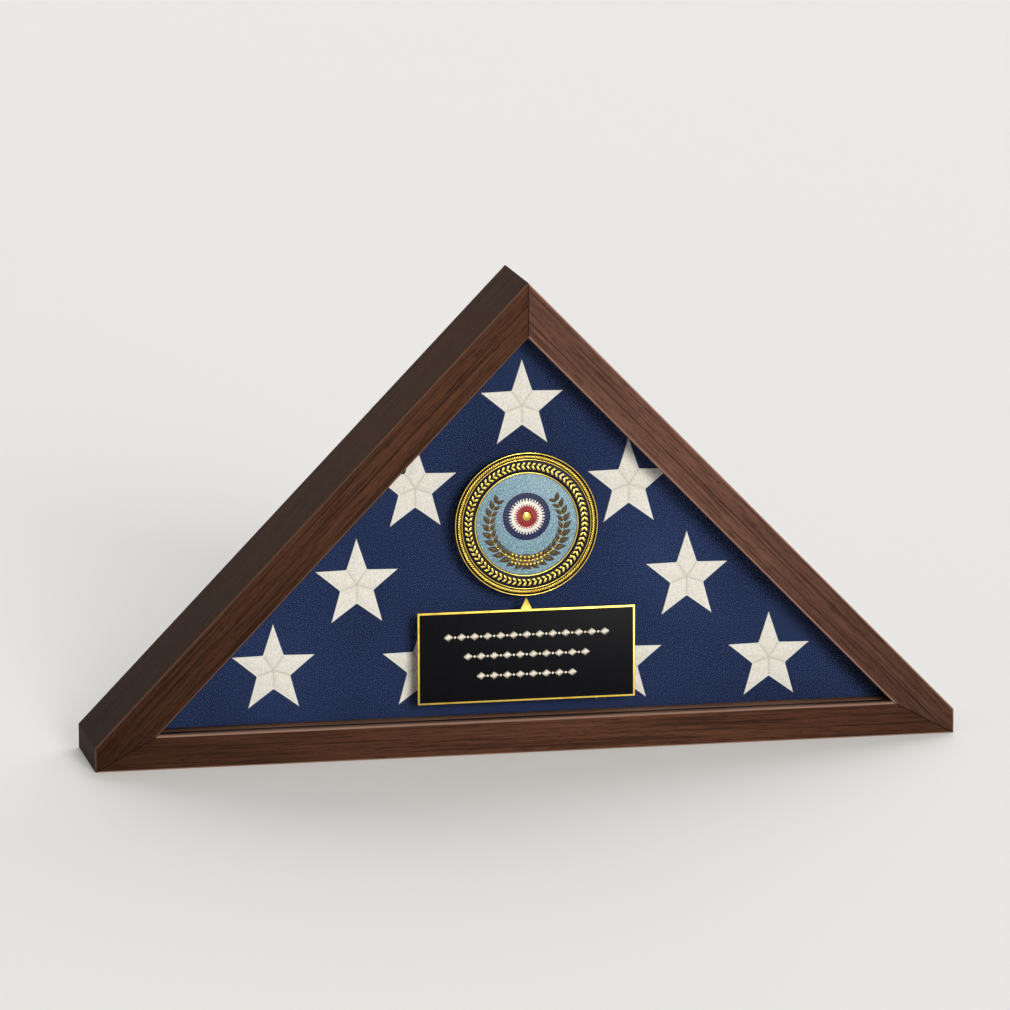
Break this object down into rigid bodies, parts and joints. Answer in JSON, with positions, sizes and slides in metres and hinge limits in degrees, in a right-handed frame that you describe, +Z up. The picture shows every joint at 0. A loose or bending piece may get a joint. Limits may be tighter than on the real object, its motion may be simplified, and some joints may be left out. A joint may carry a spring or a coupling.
{
  "type": "folded flag display case",
  "caption": "Triangular glazed wooden case for a folded flag, with medallion and name plate on the glass, and a hinged back door with wall hangers.",
  "frame": {"origin": "middle of the bottom rail's underside, halfway through the depth of the rails", "axes": "+X to the viewer's right along the bottom rail, +Y from the glazed front to the rear, +Z up"},
  "size_m": [0.66, 0.095, 0.3585],
  "materials": {
    "walnut": "satin lacquer",
    "pale_wood": "bare",
    "glass": "polished",
    "navy_cloth": "woven",
    "white_cloth": "embroidered",
    "black_enamel": "satin",
    "gold": "polished",
    "navy_enamel": "satin",
    "sky_enamel": "stippled",
    "rosette_enamel": "enamel",
    "leaf_enamel": "enamel",
    "tape": "foam tape",
    "hardboard": "smooth board",
    "foam": "felt-faced foam",
    "hinge_brass": "satin",
    "steel": "zinc plated",
    "magnet": "nickel plated",
    "leather": "waxed",
    "rubber": "matte"
  },
  "bodies": {
    "case": {"left_rail": "walnut", "right_rail": "walnut", "bottom_rail": "walnut", "left_stop": "walnut", "right_stop": "walnut", "bottom_stop": "walnut", "apex_spline": "pale_wood", "apex_block": "pale_wood", "glass_pane": "glass", "folded_flag": "navy_cloth", "flag_stars": "white_cloth", "nameplate_face": "black_enamel", "medallion_disc": "black_enamel", "nameplate_backing": "gold", "nameplate_pointer": "gold", "medallion_rim": "gold", "medallion_ring": "gold", "medallion_band": "navy_enamel", "medallion_field": "sky_enamel", "medallion_rosette": "rosette_enamel", "medallion_wreath": "leaf_enamel", "nameplate_tape": "tape", "medallion_tape": "tape", "left_hinge_frame_leaf": "hinge_brass", "right_hinge_frame_leaf": "hinge_brass", "left_hinge_pin": "hinge_brass", "right_hinge_pin": "hinge_brass", "hinge_frame_screws": "hinge_brass", "left_hanger_strap": "steel", "right_hanger_strap": "steel", "hanger_screws": "steel", "corner_nails": "steel", "stop_brads": "steel", "catch_magnet": "magnet", "wall_bumpers": "rubber"},
    "back_door": {"back_panel": "hardboard", "flag_pad": "foam", "left_hinge_door_leaf": "hinge_brass", "right_hinge_door_leaf": "hinge_brass", "hinge_door_screws": "hinge_brass", "strike_plate": "steel", "strike_screw": "steel", "pull_tab": "leather", "pull_tab_screw": "hinge_brass"},
    "left_ring": {"left_hanger_ring": "steel"},
    "right_ring": {"right_hanger_ring": "steel"}
  },
  "joints": [
    {"name": "door_hinge", "type": "hinge", "parent": "case", "child": "back_door", "pos_m": [0, 0.0471, 0.0134], "axis": [-1, 0, 0], "range_deg": [0, 90]},
    {"name": "left_ring_pivot", "type": "hinge", "parent": "case", "child": "left_ring", "pos_m": [-0.095, 0.047, 0.25129], "axis": [0.7176, 0, -0.6965], "range_deg": [0, 180]},
    {"name": "right_ring_pivot", "type": "hinge", "parent": "case", "child": "right_ring", "pos_m": [0.095, 0.047, 0.25129], "axis": [0.7176, 0, 0.6965], "range_deg": [0, 180]}
  ]
}
